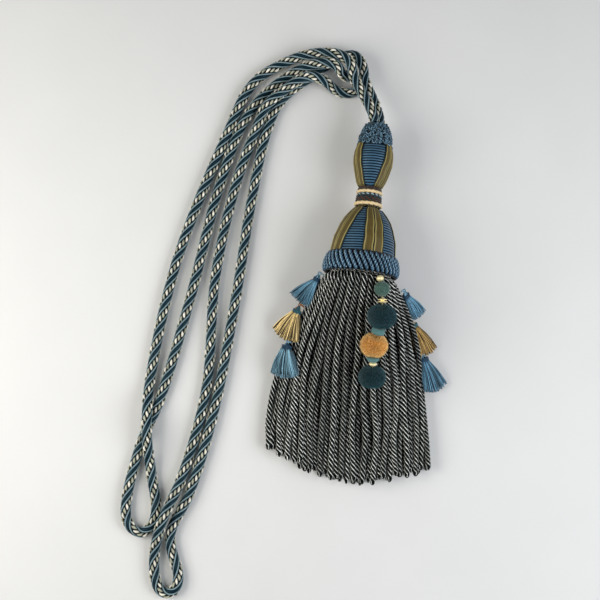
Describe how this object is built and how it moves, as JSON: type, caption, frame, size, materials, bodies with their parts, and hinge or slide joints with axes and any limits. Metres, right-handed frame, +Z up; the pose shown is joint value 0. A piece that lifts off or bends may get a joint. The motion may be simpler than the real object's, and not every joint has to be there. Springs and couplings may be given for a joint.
{
  "type": "curtain tieback tassel",
  "caption": "Curtain tieback: long twisted rope knotted above a wound bulb-and-bell tassel with a slanted-cord collar, bullion cord skirt, a string of pompoms and small side tassels.",
  "frame": {"origin": "flat spot under the tassel's collar, where the tassel rests on the table", "axes": "+X to the right as the tieback lies, +Y from the skirt's hem towards the knot, +Z up from the table"},
  "size_m": [0.2495, 0.4229, 0.0642],
  "materials": {
    "rope": "satin rayon strands, dark teal with light blue-grey and cream",
    "blue_loops": "knotted satin cord",
    "blue_winding": "ribbed satin winding",
    "gold_ribbon": "woven ribbon, soft sheen",
    "cream_cord": "twisted satin cord",
    "dark_band": "woven band",
    "blue_cord": "twisted satin cord",
    "bullion": "twisted bullion cord, soft sheen",
    "blue_thread": "loose satin threads",
    "gold_thread": "loose satin threads",
    "teal_wool": "clipped wool, matte",
    "peach_wool": "clipped wool, matte",
    "velvet": "velvet",
    "gold_metal": "polished"
  },
  "bodies": {
    "root": {"rope": "rope", "crown": "blue_loops", "mould": "blue_winding", "ribbons_1": "gold_ribbon", "ribbons_2": "gold_ribbon", "ribbons_3": "gold_ribbon", "ribbons_4": "gold_ribbon", "ribbons_5": "gold_ribbon", "ring_olive": "dark_band", "ring_cream_up": "cream_cord", "band_dark": "dark_band", "ring_cream_low": "cream_cord", "collar": "blue_cord", "skirt": "bullion", "tassel_left_1": "blue_thread", "tassel_left_2": "gold_thread", "tassel_left_3": "blue_thread", "tassel_right_1": "blue_thread", "tassel_right_2": "gold_thread", "tassel_right_3": "blue_thread", "bead_top": "gold_metal", "velvet_ball": "velvet", "spacer": "gold_metal", "pompom_a": "teal_wool", "connector": "teal_wool", "pompom_b": "peach_wool", "bead_grey": "velvet", "bead_low": "gold_metal", "pompom_c": "teal_wool"}
  },
  "joints": []
}
